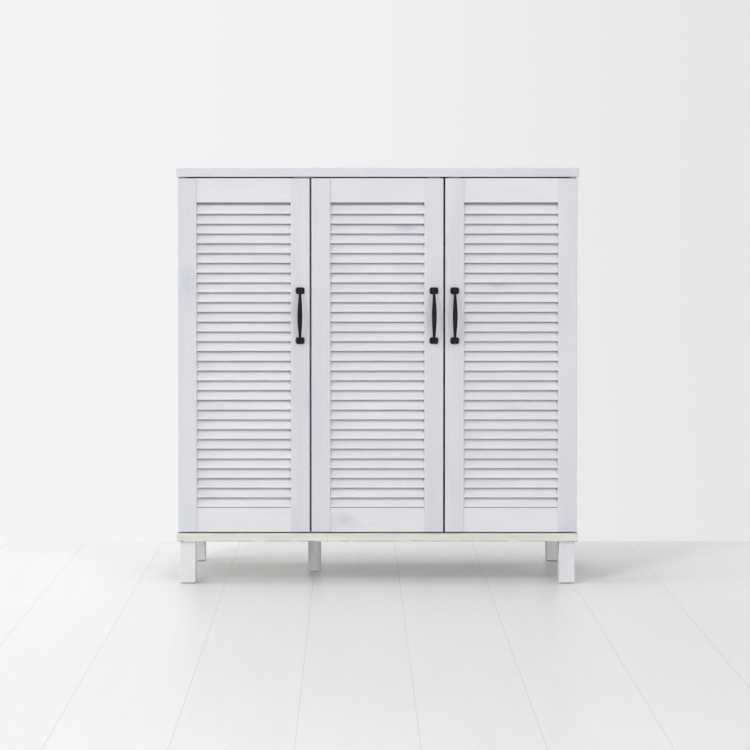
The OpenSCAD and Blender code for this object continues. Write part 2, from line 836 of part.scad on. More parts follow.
top_board();
bottom_board();
left_side_panel();
right_side_panel();
partition();
left_back_panel();
right_back_panel();
left_shelf_1();
left_shelf_2();
left_shelf_3();
left_shelf_4();
right_shelf_1();
right_shelf_2();
right_shelf_3();
right_shelf_4();
shelf_pins();
cam_locks();
cam_bolts();
carcass_dowels();
front_left_leg();
front_right_leg();
rear_left_leg();
rear_right_leg();
middle_leg();
leg_bolts();
leg_inserts();
leg_glides();
hinge_plates();
hinge_arms();
hinge_screws();
magnetic_catches();
catch_screws();
left_door_hinge_stile();
left_door_handle_stile();
left_door_top_rail();
left_door_bottom_rail();
left_door_slats();
left_door_handle();
left_door_handle_screws();
left_door_hinge_cups();
left_door_strike_plate();
middle_door_hinge_stile();
middle_door_handle_stile();
middle_door_top_rail();
middle_door_bottom_rail();
middle_door_slats();
middle_door_handle();
middle_door_handle_screws();
middle_door_hinge_cups();
middle_door_strike_plate();
right_door_hinge_stile();
right_door_handle_stile();
right_door_top_rail();
right_door_bottom_rail();
right_door_slats();
right_door_handle();
right_door_handle_screws();
right_door_hinge_cups();
right_door_strike_plate();
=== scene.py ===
"""White-washed pine shoe cabinet: louvred doors, iron bow handles and concealed hinges."""

import math
import random

import bmesh
import bpy
from mathutils import Matrix, Vector


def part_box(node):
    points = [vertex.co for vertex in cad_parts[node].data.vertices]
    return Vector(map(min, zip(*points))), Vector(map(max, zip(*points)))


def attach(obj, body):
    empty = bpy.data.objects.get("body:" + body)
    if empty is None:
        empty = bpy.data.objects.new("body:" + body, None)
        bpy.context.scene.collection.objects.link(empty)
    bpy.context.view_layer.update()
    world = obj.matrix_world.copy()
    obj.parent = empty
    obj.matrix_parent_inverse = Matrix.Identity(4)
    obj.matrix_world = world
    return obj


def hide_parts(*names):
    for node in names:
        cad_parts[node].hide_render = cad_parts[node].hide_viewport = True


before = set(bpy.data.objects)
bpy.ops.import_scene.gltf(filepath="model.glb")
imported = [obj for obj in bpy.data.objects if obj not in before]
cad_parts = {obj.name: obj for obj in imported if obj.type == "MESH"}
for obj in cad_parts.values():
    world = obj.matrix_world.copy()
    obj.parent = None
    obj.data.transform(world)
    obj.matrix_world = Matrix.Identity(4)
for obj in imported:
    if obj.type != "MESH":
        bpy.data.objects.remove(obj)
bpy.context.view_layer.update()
MM = 0.001
DOORS = ("left", "middle", "right")
rng = random.Random(20)


# ---------------------------------------------------------------- camera and light

def make_camera():
    camera = bpy.data.cameras.new("camera")
    camera.lens = 100.2
    camera.sensor_width = 36
    camera.shift_x = 0.0293
    camera.shift_y = -0.148
    camera.clip_end = 60
    holder = bpy.data.objects.new("camera", camera)
    holder.location = (-0.054, -4.776, 0.8152)
    holder.rotation_euler = (math.radians(90 - 1.3), 0, 0)
    bpy.context.scene.collection.objects.link(holder)
    bpy.context.scene.camera = holder


def soft_light(name, place, aim, size, watts, colour=(1, 1, 1)):
    light = bpy.data.lights.new(name, "AREA")
    light.shape = "RECTANGLE"
    light.size, light.size_y = size
    light.energy = watts
    light.color = colour
    holder = bpy.data.objects.new(name, light)
    holder.location = place
    holder.rotation_euler = (Vector(aim) - Vector(place)).to_track_quat("-Z", "Y").to_euler()
    bpy.context.scene.collection.objects.link(holder)


WALL_LEFT = (0.908, 0.910, 0.914, 1)
WALL_RIGHT = (0.785, 0.786, 0.790, 1)
ROOM = (0.27, 0.27, 0.275, 1)
SKY = (0.50, 0.503, 0.512, 1)
# the sideways directions between which the wall goes from its left tone to its right one
WALL_TURN = (-0.14, 0.26)


def blend_tones(nodes, links, value, low, high, first, second):
    """Goes smoothly from the first tone to the second while the value goes from low to high."""
    ramp = nodes.new("ShaderNodeMapRange")
    ramp.interpolation_type = "SMOOTHSTEP"
    ramp.inputs["From Min"].default_value = low
    ramp.inputs["From Max"].default_value = high
    links.new(value, ramp.inputs["Value"])
    tone = nodes.new("ShaderNodeMix")
    tone.data_type = "RGBA"
    links.new(ramp.outputs["Result"], tone.inputs[0])
    for socket, shade in ((tone.inputs[6], first), (tone.inputs[7], second)):
        if isinstance(shade, bpy.types.NodeSocket):
            links.new(shade, socket)
        else:
            socket.default_value = shade
    return tone.outputs[2]


def make_studio():
    """A pale wall behind the cabinet, a dim room in front of it, and soft boxes round it."""
    scene = bpy.context.scene
    scene.view_settings.view_transform = "Standard"
    world = bpy.data.worlds.new("studio")
    world.use_nodes = True
    nodes, links = world.node_tree.nodes, world.node_tree.links
    axes = nodes.new("ShaderNodeSeparateXYZ")
    links.new(nodes.new("ShaderNodeTexCoord").outputs["Generated"], axes.inputs[0])
    wall = blend_tones(nodes, links, axes.outputs["X"], *WALL_TURN, WALL_LEFT, WALL_RIGHT)
    room = blend_tones(nodes, links, axes.outputs["Y"], 0.0, 0.6, ROOM, wall)
    sky = blend_tones(nodes, links, axes.outputs["Z"], 0.30, 0.60, room, SKY)
    links.new(sky, nodes["Background"].inputs["Color"])
    nodes["Background"].inputs["Strength"].default_value = 1.0
    scene.world = world
    soft_light("key", (-3.0, -4.4, 4.6), (0, 0, 0.45), (1.2, 1.2), 112, (1, 0.995, 0.985))
    soft_light("window", (-4.4, -0.9, 1.1), (0, 0, 0.1), (1.0, 0.8), 64)
    soft_light("fill", (4.4, -5.6, 2.6), (0, 0, 0.5), (3.0, 3.0), 72, (0.97, 0.98, 1))
    soft_light("low", (2.2, -5.8, 0.40), (0, 0, 0.3), (2.2, 0.5), 68, (1, 0.99, 0.975))
    soft_light("top", (-0.25, -0.10, 3.3), (0, 0, 0), (1.0, 1.0), 20)
    soft_light("behind", (-0.5, 1.7, 2.4), (-0.2, 0.3, 0), (1.2, 0.6), 12)


# ---------------------------------------------------------------- materials

class Finish:
    """One material and the few node moves that the finishes below share."""

    def __init__(self, name, **settings):
        self.material = bpy.data.materials.new(name)
        self.material.use_nodes = True
        self.tree = self.material.node_tree
        self.shader = self.tree.nodes["Principled BSDF"]
        for key, value in settings.items():
            self.shader.inputs[key.replace("_", " ")].default_value = value

    def node(self, kind, **settings):
        made = self.tree.nodes.new("ShaderNode" + kind)
        for key, value in settings.items():
            setattr(made, key, value)
        return made

    def feed(self, socket, value):
        if isinstance(value, bpy.types.NodeSocket):
            self.tree.links.new(value, socket)
        else:
            socket.default_value = value

    def math(self, operation, a, b=0.0, clamp=False):
        made = self.node("Math", operation=operation, use_clamp=clamp)
        self.feed(made.inputs[0], a)
        self.feed(made.inputs[1], b)
        return made.outputs[0]

    def mix(self, share, a, b):
        made = self.node("Mix", data_type="RGBA")
        self.feed(made.inputs[0], share)
        self.feed(made.inputs[6], a)
        self.feed(made.inputs[7], b)
        return made.outputs[2]

    def tint(self, base, where, amount, tone):
        """Lays a tone over the base, at most by the amount."""
        return self.mix(self.math("MULTIPLY", where, amount), base, tone)

    def between(self, value, low, high, to_low=0.0, to_high=1.0):
        """Goes smoothly from one result to the other while the value goes from low to high."""
        made = self.node("MapRange", interpolation_type="SMOOTHSTEP")
        self.feed(made.inputs[0], value)
        for socket, number in zip(made.inputs[1:5], (low, high, to_low, to_high)):
            socket.default_value = number
        return made.outputs[0]

    def spot(self):
        return self.node("TexCoord").outputs["Object"]

    def attribute(self, name, output="Fac"):
        return self.node("Attribute", attribute_name=name).outputs[output]

    def moved(self, vector, offset):
        made = self.node("VectorMath", operation="ADD")
        self.feed(made.inputs[0], vector)
        self.feed(made.inputs[1], offset)
        return made.outputs[0]

    def axes(self, vector):
        made = self.node("SeparateXYZ")
        self.feed(made.inputs[0], vector)
        return made.outputs

    def place(self):
        """Object coordinates, moved by each plank's own offset so that no two share a grain."""
        return self.moved(self.spot(), self.attribute("plank", "Vector"))

    def mapped(self, vector, scale=(1, 1, 1), turn=(0, 0, 0), shift=(0, 0, 0)):
        made = self.node("Mapping")
        self.feed(made.inputs["Vector"], vector)
        made.inputs["Location"].default_value = shift
        made.inputs["Rotation"].default_value = [math.radians(a) for a in turn]
        made.inputs["Scale"].default_value = scale
        return made.outputs[0]

    def noise(self, vector, scale, detail, roughness=0.55, warp=0.0):
        made = self.node("TexNoise")
        self.feed(made.inputs["Vector"], vector)
        made.inputs["Scale"].default_value = scale
        made.inputs["Detail"].default_value = detail
        made.inputs["Roughness"].default_value = roughness
        made.inputs["Distortion"].default_value = warp
        return made.outputs["Fac"]

    def bump(self, height, distance, strength):
        made = self.node("Bump")
        made.inputs["Distance"].default_value = distance
        made.inputs["Strength"].default_value = strength
        self.feed(made.inputs["Height"], height)
        return made.outputs[0]

    def finish(self, colour, roughness, normal):
        for key, value in (("Base Color", colour), ("Roughness", roughness), ("Normal", normal)):
            self.feed(self.shader.inputs[key], value)
        return self.material


# turns the way a board's grain runs onto X, the length of the wood that it is cut from
GRAIN_TURN = {"X": (0, 0, 0), "Z": (0, 90, 0)}


def toned(colour, *shares):
    """The colour scaled by one share, or by one for each of red, green and blue."""
    shares = shares if len(shares) == 3 else shares * 3
    return tuple(c * share for c, share in zip(colour, shares)) + (1,)


def pine_knots(f, along, share):
    """Hearts and halos of knots: a share of the cells in a pattern stretched along the board."""
    drift = f.noise(f.mapped(along, scale=(1.6, 9, 9)), 1.0, 2.0)
    cells = f.node("TexVoronoi", feature="F1")
    f.feed(cells.inputs["Vector"], f.mapped(along, scale=(6.5, 15, 15)))
    cells.inputs["Scale"].default_value = 1.0
    pick = f.node("SeparateColor")
    f.feed(pick.inputs[0], cells.outputs["Color"])
    chosen = f.between(pick.outputs[0], 1 - share, 1 - share + 0.05)
    ragged = f.math("MULTIPLY", f.math("SUBTRACT", drift, 0.5), 0.3)
    from_heart = f.math("ADD", cells.outputs["Distance"], ragged)
    heart = f.math("MULTIPLY", f.between(from_heart, 0.20, 0.04), chosen)
    halo = f.math("MULTIPLY", f.between(from_heart, 0.50, 0.06), chosen)
    return heart, halo


def pine_rings(f, along, halo, slope):
    """Growth rings, drawn far out along the board and bent round the knots."""
    rings = f.node("TexWave", wave_type="RINGS", rings_direction="X", wave_profile="SAW")
    trunk = f.mapped(along, scale=(0.09, 1, 1), turn=(0, slope, slope / 2), shift=(0, 0.11, 0.05))
    f.feed(rings.inputs["Vector"], trunk)
    rings.inputs["Scale"].default_value = 46
    rings.inputs["Distortion"].default_value = 3.4
    rings.inputs["Detail"].default_value = 2
    rings.inputs["Detail Scale"].default_value = 0.8
    f.feed(rings.inputs["Phase Offset"], f.math("MULTIPLY", halo, 7.0))
    return f.between(rings.outputs["Fac"], 0.35, 1.0)


def painted_tuck_shade(f, base, fibres, shade, crevice_shade):
    """Painted shade up where a slat tucks under the next, above 0.69 of its rise, and a faint painted
    shade growing towards each slat's top.
    """
    tuck = f.attribute("tuck")
    ragged = f.math("MULTIPLY", f.math("SUBTRACT", fibres, 0.5), 0.3)
    tuck_shade_mask = f.math("ADD", f.between(tuck, 0.69, 0.80), ragged)
    # painted shade on the tucked-in top of each slat, down to 0.30 of the wash
    base = f.mix(f.math("MULTIPLY", tuck_shade_mask, crevice_shade, clamp=True), base, toned(shade, 0.30))
    # painted shade: each slat's face a little darker towards its top
    return f.mix(f.between(tuck, 0.0, 0.9, 0.0, 0.10), base, shade)


def chipped_foot(f, base, along, bottom, raw):
    """A board's lowest edge, which has lost its wash in short lengths."""
    height = f.axes(f.spot())["Z"]
    foot = f.between(height, bottom + 2.5 * MM, bottom + 1.4 * MM)
    chips = f.between(f.noise(f.mapped(along, scale=(24, 30, 30)), 1.0, 5.0, 0.65), 0.44, 0.56)
    return f.tint(base, f.math("MULTIPLY", foot, chips), 0.65, raw)


def washed_pine(name, grain, white, shade, knots, figure, wear,
                raw=(0.50, 0.40, 0.30, 1), crevice_shade=0.0, slope=0, worn_foot=None):
    """Pine under a thin white wash: faint rings, fibres, lavender-grey knots and rubbed edges.

    knots is the share of cells with a knot, figure the strength of the grain and wear that of
    the rubbed edges. slope turns the rings by so many degrees, and worn_foot is the height of
    the lowest edge of a board that is chipped there.
    """
    f = Finish(name)
    along = f.mapped(f.place(), turn=GRAIN_TURN[grain])
    heart, halo = pine_knots(f, along, knots)
    ring = pine_rings(f, along, halo, slope)
    fibres = f.noise(f.mapped(along, scale=(7, 420, 420)), 1.0, 5.0, 0.65)
    streak = f.noise(f.mapped(along, scale=(2.2, 70, 70)), 1.0, 3.0, 0.6)
    cloud = f.noise(f.mapped(along, scale=(3.0, 11, 11)), 1.0, 3.0, 0.5, 0.4)
    # the wash takes more or less of the wood's colour
    base = f.mix(f.between(cloud, 0.35, 0.75), white, shade)
    base = f.tint(base, f.between(streak, 0.5, 0.85), figure, toned(shade, 0.95, 0.95, 1.03))
    base = f.tint(base, ring, figure * 0.45, toned(shade, 0.86))
    base = f.tint(base, f.between(fibres, 0.45, 0.8), 0.10, toned(shade, 0.7))
    knot_tone = toned(shade, 0.80, 0.79, 0.90)
    base = f.tint(base, halo, 0.35, knot_tone)
    base = f.tint(base, heart, 0.55, toned(knot_tone, 0.85))
    # painted shade where each slat tucks under the next
    if crevice_shade:
        base = painted_tuck_shade(f, base, fibres, shade, crevice_shade)
    if worn_foot is not None:
        base = chipped_foot(f, base, along, worn_foot, raw)
    # rubbed edges, broken up so that no edge is an even line
    broken = f.noise(f.mapped(along, scale=(16, 60, 60)), 1.0, 5.0, 0.7)
    patches = f.between(broken, 0.60 - 0.14 * wear, 0.76 - 0.14 * wear)
    base = f.tint(base, f.math("MULTIPLY", f.attribute("edge"), patches), wear, raw)
    rough = f.math("ADD", f.between(fibres, 0.2, 0.9, 0.46, 0.60), f.math("MULTIPLY", cloud, 0.08))
    height = f.math("ADD", f.math("MULTIPLY", fibres, 0.45), f.math("MULTIPLY", ring, 0.25))
    height = f.math("ADD", height, f.math("MULTIPLY", streak, 0.4))
    height = f.math("SUBTRACT", height, f.math("MULTIPLY", heart, 0.5))
    return f.finish(base, rough, f.bump(height, 0.0004, 0.5))


def black_iron():
    """Blackened casting: fine pits, a brownish cast and a little bare sheen on the high edges."""
    f = Finish("black_iron", Metallic=0.15, Specular_IOR_Level=0.2)
    spot = f.place()
    sand = f.noise(spot, 900, 4.0, 0.6)
    patch = f.noise(spot, 60, 3.0, 0.5)
    base = f.mix(f.between(patch, 0.35, 0.7), (0.0045, 0.0042, 0.0042, 1), (0.013, 0.010, 0.0085, 1))
    base = f.tint(base, f.attribute("edge"), 0.5, (0.036, 0.029, 0.024, 1))
    rough = f.between(sand, 0.3, 0.8, 0.36, 0.58)
    return f.finish(base, rough, f.bump(sand, 0.00012, 0.6))


def plated(name, colour, dull):
    """Plated steel with rolling marks and cloudy spots."""
    f = Finish(name, Metallic=1.0)
    spot = f.place()
    marks = f.noise(f.mapped(spot, scale=(40, 900, 40)), 1.0, 3.0, 0.6)
    cloud = f.noise(spot, 130, 4.0, 0.6)
    base = f.mix(f.between(cloud, 0.3, 0.75), colour, toned(colour, 0.82))
    smear = f.between(marks, 0.2, 0.8, dull, dull + 0.12)
    rough = f.math("ADD", smear, f.math("MULTIPLY", cloud, 0.06))
    return f.finish(base, rough, f.bump(marks, 0.00005, 0.4))


def white_plastic():
    """Moulded plastic: a fine grit and a slightly yellowed patch here and there."""
    f = Finish("white_plastic")
    spot = f.place()
    grit = f.noise(spot, 1500, 3.0, 0.5)
    cloud = f.noise(spot, 45, 3.0, 0.5)
    base = f.mix(f.between(cloud, 0.3, 0.7), (0.82, 0.82, 0.80, 1), (0.76, 0.75, 0.71, 1))
    return f.finish(base, f.between(grit, 0.3, 0.7, 0.34, 0.46), f.bump(grit, 0.00004, 0.5))


def felt():
    """Grey felt: short matted hair."""
    f = Finish("glide_felt")
    spot = f.place()
    hair = f.noise(f.mapped(spot, scale=(900, 900, 2200)), 1.0, 5.0, 0.75, 1.5)
    base = f.mix(f.between(hair, 0.3, 0.7), (0.56, 0.555, 0.55, 1), (0.44, 0.43, 0.42, 1))
    return f.finish(base, 0.95, f.bump(hair, 0.0004, 0.9))


def back_board():
    """Thin painted hardboard: pebbled, with faint pressed fibres."""
    f = Finish("back_board")
    spot = f.place()
    pebble = f.noise(spot, 420, 4.0, 0.6)
    fibre = f.noise(f.mapped(spot, scale=(60, 60, 60)), 1.0, 6.0, 0.7, 2.0)
    base = f.mix(f.between(fibre, 0.35, 0.75), (0.71, 0.70, 0.68, 1), (0.60, 0.585, 0.56, 1))
    return f.finish(base, f.between(pebble, 0.2, 0.8, 0.5, 0.66), f.bump(pebble, 0.0002, 0.5))


def bare_beech():
    """Beech with no finish: dark flecks in a straight grain."""
    f = Finish("beech")
    along = f.mapped(f.place(), turn=GRAIN_TURN["Z"])
    fleck = f.noise(f.mapped(along, scale=(90, 900, 900)), 1.0, 4.0, 0.6)
    streak = f.noise(f.mapped(along, scale=(9, 160, 160)), 1.0, 3.0, 0.6)
    base = f.mix(f.between(streak, 0.3, 0.7), (0.56, 0.36, 0.20, 1), (0.44, 0.26, 0.13, 1))
    base = f.tint(base, f.between(fleck, 0.6, 0.8), 0.4, (0.25, 0.13, 0.06, 1))
    return f.finish(base, 0.6, f.bump(fleck, 0.0002, 0.5))


WHITE = (0.665, 0.672, 0.700, 1)
WHITE_SHADE = (0.625, 0.628, 0.672, 1)
RAIL = (0.725, 0.728, 0.742, 1)
RAIL_SHADE = (0.685, 0.686, 0.708, 1)
SLAT = (0.750, 0.753, 0.775, 1)
SLAT_SHADE = (0.705, 0.707, 0.742, 1)
# painted light: the legs take the doors' wash painted about 9 percent lighter, making up for the shade
# under the bottom board
LEG = (0.725, 0.730, 0.745, 1)
LEG_SHADE = (0.68, 0.683, 0.705, 1)
PALE = (0.725, 0.730, 0.690, 1)
PALE_SHADE = (0.655, 0.650, 0.600, 1)

finishes = {
    "stile": washed_pine(
        "door_pine_upright", "Z", WHITE, WHITE_SHADE, knots=0.22, figure=0.30, wear=0.25
    ),
    "rail": washed_pine(
        "door_pine_across", "X", RAIL, RAIL_SHADE, knots=0.16, figure=0.22, wear=0.25
    ),
    "slat": washed_pine(
        "slat_pine", "X", SLAT, SLAT_SHADE, knots=0.24, figure=0.26, wear=0.15, crevice_shade=0.75
    ),
    "top": washed_pine("top_pine", "X", WHITE, WHITE_SHADE, knots=0.20, figure=0.34, wear=0.35),
    "bottom": washed_pine(
        "board_pine", "X", PALE, PALE_SHADE, knots=0.35, figure=0.75, wear=1.0,
        raw=(0.30, 0.21, 0.16, 1), slope=7, worn_foot=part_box("bottom_board")[0].z,
    ),
    "panel": washed_pine("carcass_pine", "Z", WHITE, WHITE_SHADE, knots=0.22, figure=0.30, wear=0.3),
    "shelf": washed_pine("shelf_pine", "X", WHITE, WHITE_SHADE, knots=0.35, figure=0.40, wear=0.3),
    "leg": washed_pine("leg_pine", "Z", LEG, LEG_SHADE, knots=0.12, figure=0.30, wear=0.4),
    "iron": black_iron(),
    "nickel": plated("nickel", (0.62, 0.60, 0.56, 1), 0.24),
    "zinc": plated("zinc", (0.55, 0.56, 0.58, 1), 0.34),
    "plastic": white_plastic(),
    "felt": felt(),
    "back": back_board(),
    "beech": bare_beech(),
}


# ---------------------------------------------------------------- making pieces

# how far the edges of each kind of board are eased
EASED = {
    "top": 1.6 * MM,
    "bottom": 1.4 * MM,
    "shelf": 1.5 * MM,
    "leg": 1.8 * MM,
    "stile": 1.9 * MM,
    "rail": 0.7 * MM,
    "slat": 1.7 * MM,
}
ROUND_LEG_EASED = 1.6 * MM
# each plank's place in the wood it is cut from, up to this far either way, in metres
PLANK_SPREAD = 9
# how far a normal's largest share falls short of 1 where an edge counts as fully round
EDGE_TURN = 0.28


def new_piece(name, bm, finish, body, slot, *nodes):
    """Turns a finished bmesh into a piece that rides on a body and stands for CAD nodes."""
    mesh = bpy.data.meshes.new(name)
    bm.to_mesh(mesh)
    bm.free()
    piece = bpy.data.objects.new(name, mesh)
    bpy.context.scene.collection.objects.link(piece)
    mesh.materials.append(finishes[finish])
    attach(piece, body)
    if nodes:
        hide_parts(*nodes)
    return piece


def empty_mesh():
    """A bmesh whose vertices will carry what mark() gives them."""
    bm = bmesh.new()
    bm.verts.layers.float_vector.new("plank")
    bm.verts.layers.float.new("edge")
    bm.verts.layers.float.new("tuck")
    return bm


def mark(bm, fresh):
    """Marks one plank's vertices.

    plank is the plank's own place in the wood, tuck goes from 0 at its foot to 1 at its top, and
    edge says how far a vertex lies round an eased edge.
    """
    plank = bm.verts.layers.float_vector["plank"]
    edge = bm.verts.layers.float["edge"]
    tuck = bm.verts.layers.float["tuck"]
    top, bottom = max(v.co.z for v in fresh), min(v.co.z for v in fresh)
    offset = Vector([rng.uniform(-PLANK_SPREAD, PLANK_SPREAD) for _ in "xyz"])
    for v in fresh:
        v[plank] = offset
        v[tuck] = (v.co.z - bottom) / (top - bottom)
        flat = max(abs(c) for c in v.normal)
        v[edge] = min(1.0, max(0.0, (1 - flat) / EDGE_TURN))


def add_plank(bm, size, radius, segments, matrix):
    """A plank round the origin with eased edges and its marks, then put in place."""
    made = bmesh.ops.create_cube(bm, size=1.0)["verts"]
    bmesh.ops.scale(bm, vec=size, verts=made)
    edges = list({e for v in made for e in v.link_edges})
    eased = bmesh.ops.bevel(
        bm, geom=edges, offset=radius, offset_type="OFFSET", affect="EDGES",
        segments=segments, profile=0.5, material=-1, clamp_overlap=True,
    )
    verts = list(set(eased["verts"]) | {v for v in made if v.is_valid})
    for face in {g for v in verts for g in v.link_faces}:
        face.smooth = True
        face.normal_update()
    for v in verts:
        v.normal_update()
    mark(bm, verts)
    bmesh.ops.transform(bm, matrix=matrix, verts=verts)


def plank_piece(name, low, high, finish, body, slot, *nodes):
    """A board that fills the box from low to high."""
    bm = empty_mesh()
    low, high = Vector(low), Vector(high)
    add_plank(bm, high - low, EASED[finish], 3, Matrix.Translation((low + high) / 2))
    return new_piece(name, bm, finish, body, slot, *nodes)


def sharpen(piece):
    """Keeps broad faces flat next to their eased edges."""
    modifier = piece.modifiers.new("weighted_normal", "WEIGHTED_NORMAL")
    modifier.keep_sharp = True
    modifier.weight = 100
    return piece


def cut(piece, tool):
    """Takes the tool's shape out of the piece, then removes the tool."""
    modifier = piece.modifiers.new("cut", "BOOLEAN")
    modifier.operation = "DIFFERENCE"
    modifier.solver = "EXACT"
    modifier.object = tool
    graph = bpy.context.evaluated_depsgraph_get()
    result = bpy.data.meshes.new_from_object(
        piece.evaluated_get(graph), preserve_all_data_layers=True, depsgraph=graph
    )
    piece.modifiers.remove(modifier)
    old, name = piece.data, piece.data.name
    piece.data = result
    bpy.data.meshes.remove(old)
    result.name = name
    bpy.data.objects.remove(tool)


def plank_for(node, finish, body="carcass", slot="carcass_pine"):
    """A board in place of a CAD node, of the same box."""
    low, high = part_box(node)
    return sharpen(plank_piece(node + "_wood", low, high, finish, body, slot, node))


# ---------------------------------------------------------------- carcass

def make_carcass():
    plank_for("top_board", "top")
    plank_for("bottom_board", "bottom", slot="board_pine")
    for room in ("left", "right"):
        for k in range(1, 5):
            plank_for(f"{room}_shelf_{k}", "shelf", slot="shelf_pine")
    for leg in ("front_left", "front_right", "rear_left", "rear_right"):
        plank_for(leg + "_leg", "leg", slot="leg_pine")
    make_round_leg()


def make_round_leg():
    low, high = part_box("middle_leg")
    radius = (high.x - low.x) / 2
    bm = empty_mesh()
    bmesh.ops.create_cone(
        bm, cap_ends=True, segments=64, radius1=radius, radius2=radius, depth=high.z - low.z
    )
    rims = [e for e in bm.edges if abs(e.verts[0].co.z - e.verts[1].co.z) < 0.001 * MM]
    bmesh.ops.bevel(
        bm, geom=rims, offset=ROUND_LEG_EASED, affect="EDGES", segments=3, profile=0.5, material=-1
    )
    bm.normal_update()
    for face in bm.faces:
        face.smooth = True
    plank = bm.verts.layers.float_vector["plank"]
    edge = bm.verts.layers.float["edge"]
    for v in bm.verts:
        v[plank] = Vector((2.3, 1.1, 4.7))
        v[edge] = min(1.0, abs(v.normal.z) * math.hypot(v.normal.x, v.normal.y) * 2)
    bmesh.ops.translate(bm, vec=(low + high) / 2, verts=bm.verts)
    sharpen(new_piece("middle_leg_wood", bm, "leg", "carcass", "leg_pine", "middle_leg"))


# ---------------------------------------------------------------- doors

SLAT_WIDTH = 27 * MM
SLAT_THICKNESS = 5.5 * MM
SLAT_TILT = 28
SLAT_PITCH = 21.7 * MM
# each slat sits a little off in its slots: tilt and sideways lean in degrees, height in mm
SLAT_TILT_ERROR = 0.35
SLAT_LEAN_ERROR = 0.04
SLAT_HEIGHT_ERROR = 0.12
# what a slat is shorter than the box of its slots
SLAT_PLAY = 0.4 * MM

# the hinge cups: the radius of a rim, the radius and depth of the shape that cuts a cup's hole,
# and how far that shape's middle lies behind the cups' foremost point
CUP_RIM = 14.5 * MM
CUP_HOLE = 13.05 * MM
CUP_HOLE_DEPTH = 28.6 * MM
CUP_HOLE_MIDDLE = 14.2 * MM

# a rail's hidden tenon, and how far the visible rail still runs into the stile
RAIL_TENON = 25.5 * MM
RAIL_LAP = 0.3 * MM


def strayed(most):
    """A chance error, up to so much either way."""
    return rng.uniform(-most, most)


def make_slats(door):
    node = f"{door}_door_slats"
    low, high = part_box(node)
    rail_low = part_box(f"{door}_door_bottom_rail")[1].z
    rail_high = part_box(f"{door}_door_top_rail")[0].z
    count = int((rail_high - rail_low) / SLAT_PITCH)
    start = (rail_low + rail_high) / 2 - (count - 1) / 2 * SLAT_PITCH
    middle = (low + high) / 2
    size = Vector((high.x - low.x - SLAT_PLAY, SLAT_THICKNESS, SLAT_WIDTH))
    bm = empty_mesh()
    for n in range(count):
        tilt = Matrix.Rotation(math.radians(-SLAT_TILT + strayed(SLAT_TILT_ERROR)), 4, "X")
        height = start + n * SLAT_PITCH + strayed(SLAT_HEIGHT_ERROR) * MM
        lean = Matrix.Rotation(math.radians(strayed(SLAT_LEAN_ERROR)), 4, "Y")
        place = Matrix.Translation((middle.x, middle.y, height))
        add_plank(bm, size, EASED["slat"], 4, place @ tilt @ lean)
    sharpen(new_piece(node + "_wood", bm, "slat", f"{door}_door", "slat_pine", node))


def make_stile(door, side):
    piece = plank_for(f"{door}_door_{side}_stile", "stile", f"{door}_door", "door_pine")
    if side == "hinge":
        cut(piece, cup_holes(door))


def cup_holes(door):
    """The shape of the two holes that take a door's hinge cups."""
    low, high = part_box(f"{door}_door_hinge_cups")
    bm = bmesh.new()
    for z in (low.z + CUP_RIM, high.z - CUP_RIM):
        place = Matrix.Translation(((low.x + high.x) / 2, low.y + CUP_HOLE_MIDDLE, z))
        bmesh.ops.create_cone(
            bm, cap_ends=True, segments=64, radius1=CUP_HOLE, radius2=CUP_HOLE,
            depth=CUP_HOLE_DEPTH, matrix=place @ Matrix.Rotation(math.radians(90), 4, "X"),
        )
    mesh = bpy.data.meshes.new("cup_holes")
    bm.to_mesh(mesh)
    bm.free()
    tool = bpy.data.objects.new("cup_holes", mesh)
    bpy.context.scene.collection.objects.link(tool)
    return tool


def make_rail(door, end):
    node = f"{door}_door_{end}_rail"
    low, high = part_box(node)
    low, high = low.copy(), high.copy()
    low.x += RAIL_TENON - RAIL_LAP
    high.x -= RAIL_TENON - RAIL_LAP
    sharpen(plank_piece(node + "_wood", low, high, "rail", f"{door}_door", "door_pine", node))


# the bow handle, in mm: half width and half depth of its grip at the ends, and what the middle
# of the grip has over that
GRIP_END = (2.5, 2.9)
GRIP_SWELL = (3.1, 0.7)
# the arch starts this far in front of the door and stops this far short of the handle's reach
ARCH_START = 7.5
ARCH_CREST = 3.6
# a higher power makes the arch flatter in its middle, and the swell shorter
ARCH_POWER = 2.3
SWELL_POWER = 1.25
GRIP_STEPS = 40

FOOT_WIDE, FOOT_THICK, FOOT_TALL = 19.8 * MM, 7.0 * MM, 15.4 * MM
# the foot's outer face is smaller than its back by these shares, across and up
FOOT_TAPER = (0.90, 0.86)
FOOT_EASED = 4.2 * MM
POST_RADII = (4.6 * MM, 3.3 * MM)
POST_LENGTH = 8 * MM
POST_MIDDLE = 8 * MM


